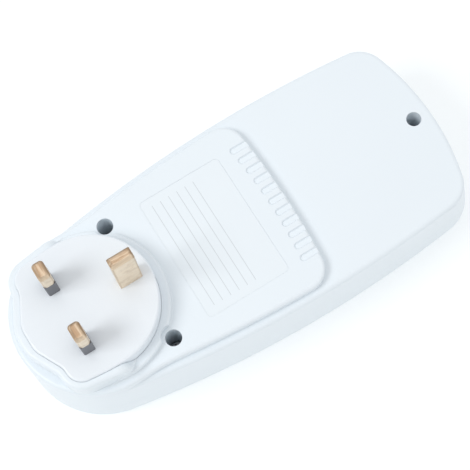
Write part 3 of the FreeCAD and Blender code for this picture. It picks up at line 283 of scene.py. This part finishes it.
def metal(name, color, rough, scale=1500.0):
    """Plated or bare metal with tool lines and a patchy dullness."""
    r = finish(name)
    drawn = use(r, lines_group, Line_Scale=scale)
    put(r, Base_Color=r.blend(drawn["Stain"], tint(color, 0.85), tint(color, 1.08)), Metallic=1.0,
        Roughness=r.sum("MULTIPLY_ADD", drawn["Stain"], 0.2, rough - 0.1))
    relief(r, drawn["Lines"], 0.00001, 0.3)
    return r.material


def clear_finish():
    """Clear acrylic window."""
    r = finish("window_clear")
    marks = use(r, marks_group, Scuff_Scale=420.0)
    put(r, Base_Color=(0.95, 0.97, 0.97, 1), Metallic=0.0, Transmission_Weight=1.0, IOR=1.49,
        Roughness=r.sum("MULTIPLY_ADD", marks["Scuffs"], 0.12, 0.03))
    return r.material


def cell_finish():
    """Liquid crystal cell: grey-green reflector under glass with a faint brushed sparkle."""
    r = finish("cell_grey")
    place = r.place()
    fleck = r.noise(place, 5200.0, 2.0, 0.7)
    shade = r.noise(place, 40.0, 1.0)
    base = r.blend(fleck, (0.30, 0.345, 0.27, 1), (0.38, 0.425, 0.345, 1))
    base = r.blend(shade, base, (0.33, 0.38, 0.31, 1))
    put(r, Base_Color=base, Roughness=r.sum("MULTIPLY_ADD", fleck, 0.1, 0.18), Coat_Weight=0.6)
    return r.material


def board_finish():
    """Green solder mask over woven glass, with the weave just showing: sin of X times sin of Y."""
    weave_turns = 9000.0
    r = finish("board_green")
    place = r.place()
    parts = r.add("ShaderNodeSeparateXYZ", {0: place}).outputs
    warp, weft = (r.sum("SINE", r.sum("MULTIPLY", parts[way], weave_turns)) for way in "XY")
    cloudy = r.noise(place, 60.0, 3.0)
    put(r, Base_Color=r.blend(cloudy, (0.012, 0.085, 0.035, 1), (0.03, 0.15, 0.06, 1)),
        Roughness=r.sum("MULTIPLY_ADD", cloudy, 0.15, 0.3))
    relief(r, r.sum("MULTIPLY", warp, weft), 0.000006, 0.4)
    return r.material


case_white = moulded("case_white", (0.80, 0.863, 0.912), rough=0.34, drift=0.012)
plug_white = moulded("plug_white", (0.82, 0.87, 0.92), rough=0.3, drift=0.012)
line_brass = pin_finish("line_brass", 0.0, 11.115, 2.0, 3.175, 64.7)
# The neutral pin's end colours are 2 % darker: painted shade.
neutral_brass = pin_finish("neutral_brass", 0.0, -11.115, 2.0, 3.175, 64.7, 0.98)
earth_brass = pin_finish("earth_brass", 22.23, 0.0, 3.96, 2.0, 69.7)
sleeve_grey = moulded("sleeve_grey", (0.153, 0.158, 0.178), rough=0.5, grain=3500.0, drift=0.08, scuffed=0.2)
label_film = moulded("label_film", (0.80, 0.86, 0.905), rough=0.48, grain=6000.0, depth=0.000008, drift=0.015)
screw_zinc = metal("screw_zinc", (0.56, 0.57, 0.59), 0.5)
spring_wire = metal("spring_wire", (0.55, 0.56, 0.58), 0.3)
contact_brass = metal("contact_brass", (0.78, 0.58, 0.28), 0.32)
can_metal = metal("can_metal", (0.70, 0.71, 0.73), 0.3)
shunt_alloy = metal("shunt_alloy", (0.52, 0.45, 0.38), 0.38)
window_clear = clear_finish()
cell_grey = cell_finish()
board_green = board_finish()
frame_white = moulded("frame_white", (0.66, 0.68, 0.69), rough=0.5)
component_black = moulded("component_black", (0.016, 0.016, 0.018), rough=0.45, grain=5000.0)
key_grey = moulded("key_grey", (0.235, 0.25, 0.275), rough=0.55, grain=1500.0, depth=0.00003)
key_red = moulded("key_red", (0.32, 0.035, 0.028), rough=0.5, grain=1500.0)
ink_grey = moulded("ink_grey", (0.16, 0.165, 0.18), rough=0.6, grain=7000.0, depth=0.000004)
ink_pale = moulded("ink_pale", (0.62, 0.665, 0.70), rough=0.55, grain=7000.0, depth=0.000004)
mark_white = moulded("mark_white", (0.78, 0.80, 0.82), rough=0.5, grain=7000.0, depth=0.000004)
strip_grey = moulded("strip_grey", (0.05, 0.05, 0.055), rough=0.7)
cell_wrap = moulded("cell_wrap", (0.03, 0.16, 0.06), rough=0.3)
ribbon_grey = moulded("ribbon_grey", (0.22, 0.23, 0.25), rough=0.5)
box_yellow = moulded("box_yellow", (0.62, 0.38, 0.03), rough=0.3)
disc_blue = moulded("disc_blue", (0.02, 0.07, 0.25), rough=0.35)
cement_blue = moulded("cement_blue", (0.30, 0.45, 0.48), rough=0.7, grain=1800.0, depth=0.00004)
lead_brown = moulded("lead_brown", (0.075, 0.03, 0.014), rough=0.45)
lead_blue = moulded("lead_blue", (0.012, 0.05, 0.22), rough=0.45)

finishes = {
    case_white: ["rear_cover", "front_cover", "socket_face"],
    plug_white: ["plug_base"],
    line_brass: ["line_pin"],
    neutral_brass: ["neutral_pin"],
    earth_brass: ["earth_pin"],
    sleeve_grey: ["line_pin_sleeve", "neutral_pin_sleeve"],
    label_film: ["rating_label"],
    screw_zinc: ["case_screws", "display_board_screws", "power_board_screws"],
    spring_wire: ["shutter_spring"],
    contact_brass: ["line_contact", "neutral_contact", "earth_contact"],
    can_metal: ["crystal", "cell_tags", "reservoir_capacitor"],
    shunt_alloy: ["current_shunt"],
    window_clear: ["display_window"],
    cell_grey: ["lcd_glass"],
    board_green: ["display_board", "power_board"],
    frame_white: ["lcd_holder", "contact_carrier", "socket_shutter"],
    component_black: ["switch_bodies", "controller_chip", "metering_chip", "rectifier_diodes", "display_header",
                      "power_header"] + [k + "_plunger" for k in ("mode", "up", "down", "set", "reset")],
    key_grey: [k + "_button" for k in ("mode", "up", "down", "set")],
    key_red: ["reset_button"],
    strip_grey: ["zebra_strips"],
    cell_wrap: ["backup_cell"],
    ribbon_grey: ["ribbon_cable"],
    box_yellow: ["dropper_capacitor"],
    disc_blue: ["varistor"],
    cement_blue: ["surge_resistor"],
    lead_brown: ["line_lead"],
    lead_blue: ["neutral_lead"],
}
for material, names in finishes.items():
    for name in names:
        nodes[name].data.materials.clear()
        nodes[name].data.materials.append(material)


# ---- Trim

def piece(name, points, faces, material, body):
    """A mesh from an array of points and a list of faces, riding on a body."""
    mesh = bpy.data.meshes.new(name)
    mesh.from_pydata(points.tolist(), [], faces)
    mesh.materials.append(material)
    made = bpy.data.objects.new(name, mesh)
    bpy.context.scene.collection.objects.link(made)
    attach(made, body)
    return made


def plates(name, outlines, low, high, material, body):
    """Thin plates, one per outline: outlines[k, j] is corner j of plate k, repeated at heights low and high.

    Sides join corner j to j + 1, and the two ends are single faces, turned to point outwards.
    """
    count, corners = outlines.shape[:2]
    area = np.cross(outlines, np.roll(outlines, -1, axis=1)).sum()
    if area < 0:
        outlines = outlines[:, ::-1]
    heights = np.array([low, high])
    points = np.empty((count, 2, corners, 3))
    points[..., :2] = outlines[:, None]
    points[..., 2] = heights[None, :, None]
    index = np.arange(count * 2 * corners).reshape(count, 2, corners)
    following = np.roll(index, -1, axis=2)
    sides = np.stack([index[:, 0], following[:, 0], following[:, 1], index[:, 1]], axis=-1).reshape(-1, 4)
    ends = np.concatenate([index[:, 0, ::-1], index[:, 1]])
    return piece(name, points.reshape(-1, 3), sides.tolist() + ends.tolist(), material, body)


def dome(name, outline, centre, root, tip, material, body, rings=7):
    """A raised mark that points down, from height root to height tip.

    Ring t of 0 to 1 is the outline times cos(t pi/2) ** 0.5, at sin(t pi/2) of the way to the tip.
    """
    turn = np.linspace(0, math.pi / 2, rings)
    shrink = np.sqrt(np.cos(turn))
    lift = root + (tip - root) * np.sin(turn)
    count = len(outline)
    points = np.empty((rings, count, 3))
    points[..., :2] = np.asarray(centre) + outline[None] * shrink[:, None, None]
    points[..., 2] = lift[:, None]
    index = np.arange(rings * count).reshape(rings, count)
    following = np.roll(index, -1, axis=1)
    quads = np.stack([index[1:], following[1:], following[:-1], index[:-1]], axis=-1).reshape(-1, 4)
    made = piece(name, points.reshape(-1, 3), quads.tolist() + [index[0].tolist()], material, body)
    made.data.polygons.foreach_set("use_smooth", [True] * len(quads) + [False])
    return made


def soft_polygon(corners, reach, turn=0.0, sharpness=9.0, steps=48):
    """Outline of a regular polygon with soft corners.

    Its radius at angle a is reach / (sum over the sides k of max(cos(a - side k), 0) ** p) ** (1 / p).
    """
    angle = np.linspace(0, 2 * math.pi, steps, endpoint=False)
    sides = turn + 2 * math.pi * np.arange(corners) / corners
    facing = np.clip(np.cos(angle[:, None] - sides[None]), 0, None)
    radius = reach / (facing ** sharpness).sum(axis=1) ** (1 / sharpness)
    return np.stack([radius * np.cos(angle), radius * np.sin(angle)], axis=1)


def rounded_frame(centre, half_x, half_y, radius, steps=8):
    """Outline of a rectangle with round corners: a quarter circle of that radius round each corner's middle."""
    bend = np.linspace(0, math.pi / 2, steps)
    corners = []
    for k, (sx, sy) in enumerate(((1, 1), (-1, 1), (-1, -1), (1, -1))):
        angle = bend + k * math.pi / 2
        corners.append(np.stack([centre[0] + sx * (half_x - radius) + radius * np.cos(angle),
                                 centre[1] + sy * (half_y - radius) + radius * np.sin(angle)], axis=1))
    return np.concatenate(corners)


def band(name, inner, outer, low, high, material, body):
    """A flat ring between two outlines of as many points: its section is a rectangle carried round them."""
    section = [(inner, low), (outer, low), (outer, high), (inner, high)]
    points = np.stack([np.column_stack([line, np.full(len(line), z)]) for line, z in section])
    index = np.arange(points.shape[0] * points.shape[1]).reshape(points.shape[:2])
    across = np.roll(index, -1, axis=0)
    quads = np.stack([index, np.roll(index, -1, axis=1), np.roll(across, -1, axis=1), across], axis=-1)
    return piece(name, points.reshape(-1, 3), quads.reshape(-1, 4)[:, ::-1].tolist(), material, body)


def label_rules():
    """Six ruled lines on the bare label: each a bar with round ends, half circles on its two end points."""
    first, pitch, count, reach, half = 41.0, 3.1, 6, 19.5 * mm, 0.11 * mm
    sunk, raised = 0.02 * mm, 0.012 * mm
    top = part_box("rating_label")[1].z
    rows = np.array([first + pitch * i for i in range(count)]) * mm
    angle = np.linspace(-math.pi / 2, math.pi / 2, 7)
    cap = np.stack([half * np.sin(angle), half * np.cos(angle)], axis=1)
    bar = np.concatenate([cap + (0, reach), -cap - (0, reach)])
    outlines = np.repeat(bar[None], count, axis=0)
    outlines[..., 0] += rows[:, None]
    return plates("label_rules", outlines, top - sunk, top + raised, ink_pale, "housing")


def segment_outlines(text, origin, height, width, stroke, pitch):
    """Hexagonal bars of seven-segment figures; the tops point to +X and the text runs to +Y."""
    lit = {"0": "abcdef", "1": "bc", "2": "abged", "3": "abgcd"}
    gap = stroke * 0.12
    level = {"a": (1.0, 0), "g": (0.5, 0), "d": (0.0, 0)}
    upright = {"f": (0.5, 0), "b": (0.5, 1), "e": (0.0, 0), "c": (0.0, 1)}
    s = stroke / 2
    bars = []
    for i, figure in enumerate(text):
        left = origin[1] + i * pitch
        for part in lit[figure]:
            if part in level:
                x = origin[0] + level[part][0] * height
                y0, y1 = left + gap, left + width - gap
                bars.append([(x, y0), (x + s, y0 + s), (x + s, y1 - s), (x, y1), (x - s, y1 - s), (x - s, y0 + s)])
            else:
                share, side = upright[part]
                y = left + side * width
                x0 = origin[0] + share * height + gap
                x1 = x0 + height / 2 - 2 * gap
                bars.append([(x0, y), (x0 + s, y - s), (x1 - s, y - s), (x1, y), (x1 - s, y + s), (x0 + s, y + s)])
    return np.array(bars)


def display_trim():
    """The printed border behind the window and the figures on the cell."""
    low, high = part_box("display_window")
    centre = ((low.x + high.x) / 2, 0.0)
    half_x, half_y = (high.x - low.x) / 2, (high.y - low.y) / 2
    outer_inset, outer_radius, inner_inset, inner_radius = 0.4 * mm, 2.1 * mm, 3.4 * mm, 1.2 * mm
    outer = rounded_frame(centre, half_x - outer_inset, half_y - outer_inset, outer_radius)
    inner = rounded_frame(centre, half_x - inner_inset, half_y - inner_inset, inner_radius)
    back, front = high.z - 0.01 * mm, high.z - 0.03 * mm
    band("window_border", inner, outer, front, back, key_grey, "housing")
    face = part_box("lcd_glass")[0].z
    # The text, then its place, height, width, stroke and pitch in millimetres.
    figures = {"main_figures": ("0230", (90, -17), 12, 6.4, 1.3, 9.4),
               "small_figures": ("1200", (107.5, -11), 6, 3.2, 0.7, 5.4)}
    for name, (text, (x, y), *sizes) in figures.items():
        bars = segment_outlines(text, (x * mm, y * mm), *(size * mm for size in sizes))
        plates(name, bars, face - 0.03 * mm, face + 0.01 * mm, ink_grey, "housing")


def key_marks():
    """Raised marks on the keys: two arrowheads, a dot and a ring."""
    sunk, dome_rise, ring_rise = 0.01 * mm, 0.14 * mm, 0.12 * mm
    domes = {"up": soft_polygon(3, 0.95 * mm, math.pi), "down": soft_polygon(3, 0.95 * mm),
             "set": soft_polygon(12, 1.1 * mm)}
    ring = soft_polygon(24, 1.0 * mm)
    ring_inside, ring_outside = 0.72, 1.25

    def spot(name):
        low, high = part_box(name + "_button")
        return ((low.x + high.x) / 2, (low.y + high.y) / 2), low.z

    for name, outline in domes.items():
        centre, face = spot(name)
        dome(name + "_mark", outline, centre, face + sunk, face - dome_rise, mark_white, name + "_key")
    centre, face = spot("mode")
    band("mode_mark", ring * ring_inside + centre, ring * ring_outside + centre, face + sunk, face - ring_rise,
         mark_white, "mode_key")


def shutter_coil():
    """The shutter's compression spring as a smooth coil, in place of the imported spring, which is hidden.

    Point (u, v) of the wire: its middle goes round X by 2 pi turns u while it moves along X by u of the length, and
    v goes round the wire, from straight out towards +X.
    """
    low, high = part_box("shutter_spring")
    wire, turns, travel = 0.2 * mm, 6, 5.85 * mm
    steps, around = 24, 10
    mean = (high.y - low.y) / 2 - wire
    length = high.x - low.x
    u = np.linspace(0, 1, steps * turns + 1)[:, None]
    v = np.linspace(0, 2 * math.pi, around, endpoint=False)[None]
    turn = 2 * math.pi * turns * u
    reach = mean + wire * np.cos(v)
    along = low.x + wire + (length - 2 * wire) * u + wire * np.sin(v)
    axis_z = (low.z + high.z) / 2
    points = np.stack([along, reach * np.sin(turn), axis_z - reach * np.cos(turn)], axis=-1)
    index = np.arange(points.shape[0] * points.shape[1]).reshape(points.shape[:2])
    following = np.roll(index, -1, axis=1)
    quads = np.stack([index[:-1], index[1:], following[1:], following[:-1]], axis=-1).reshape(-1, 4)
    ends = [index[0].tolist(), index[-1, ::-1].tolist()]
    made = piece("shutter_coil", points.reshape(-1, 3), quads.tolist() + ends, spring_wire, "housing")
    made.data.polygons.foreach_set("use_smooth", [True] * len(quads) + [False] * 2)
    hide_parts("shutter_spring")
    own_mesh(made)


label_rules()
display_trim()
key_marks()
shutter_coil()


# ---- Floor, light and camera

def floor():
    """Pale studio sweep, level, just under the object."""
    side, gap = 6.0, 0.2 * mm
    mesh = bpy.data.meshes.new("floor")
    mesh.from_pydata([(-side, -side, 0), (side, -side, 0), (side, side, 0), (-side, side, 0)], [], [(0, 1, 2, 3)])
    r = finish("floor_paper")
    cloud = r.noise(r.place(), 3.0, 2.0)
    put(r, Base_Color=r.blend(cloud, (0.54, 0.54, 0.54, 1), (0.56, 0.56, 0.56, 1)), Roughness=0.9,
        Specular_IOR_Level=0.1, Emission_Color=(0.94, 1.0, 1.03, 1), Emission_Strength=0.5)
    mesh.materials.append(r.material)
    made = bpy.data.objects.new("floor", mesh)
    made.location.z = -gap
    bpy.context.scene.collection.objects.link(made)


def softbox(name, place, aim, size, power):
    """A square white light of that size and power, turned to a point."""
    light = bpy.data.lights.new(name, "AREA")
    light.shape = "SQUARE"
    light.size = size
    light.energy = power
    made = bpy.data.objects.new(name, light)
    made.location = place
    made.rotation_mode = "QUATERNION"
    made.rotation_quaternion = (Vector(aim) - Vector(place)).to_track_quat("-Z", "Y")
    bpy.context.scene.collection.objects.link(made)


def studio():
    """A white room that is brighter above and towards +X, and one softbox."""
    level, rise, lean = 0.545, 0.375, 0.2
    scene = bpy.context.scene
    world = bpy.data.worlds.new("studio")
    scene.world = world
    world.use_nodes = True
    sky = Recipe(world.node_tree)
    way = sky.add("ShaderNodeSeparateXYZ", {0: sky.add("ShaderNodeTexCoord").outputs["Generated"]}).outputs
    glow = sky.sum("MULTIPLY_ADD", way["Z"], rise, sky.sum("MULTIPLY_ADD", way["X"], lean, level))
    sky.feed(sky.tree.nodes["Background"], {"Strength": glow, "Color": (1.0, 1.0, 1.0, 1)})
    softbox("key_softbox", (-0.86, 0.14, 1.24), (0.04, 0, 0.03), 0.55, 8.0)
    scene.view_settings.view_transform = "Standard"
    scene.view_settings.look = "None"


def camera():
    """Camera from the photograph's angle: its place, and its right and up ways, from the pins' perspective."""
    sensor, focal_pixels, frame_pixels = 36, 1400, 470
    place = (0.00891, -0.12495, 0.46890)
    right = np.array([0.85076, -0.52323, -0.04941])
    up = np.array([0.51385, 0.80839, 0.28717])
    lens = bpy.data.cameras.new("camera")
    lens.sensor_width = sensor
    lens.lens = sensor * focal_pixels / frame_pixels
    lens.clip_start = 0.01
    matrix = np.eye(4)
    matrix[:3] = np.column_stack([right, up, np.cross(right, up), place])
    made = bpy.data.objects.new("camera", lens)
    made.matrix_world = Matrix(matrix.tolist())
    bpy.context.scene.collection.objects.link(made)
    bpy.context.scene.camera = made


floor()
studio()
camera()
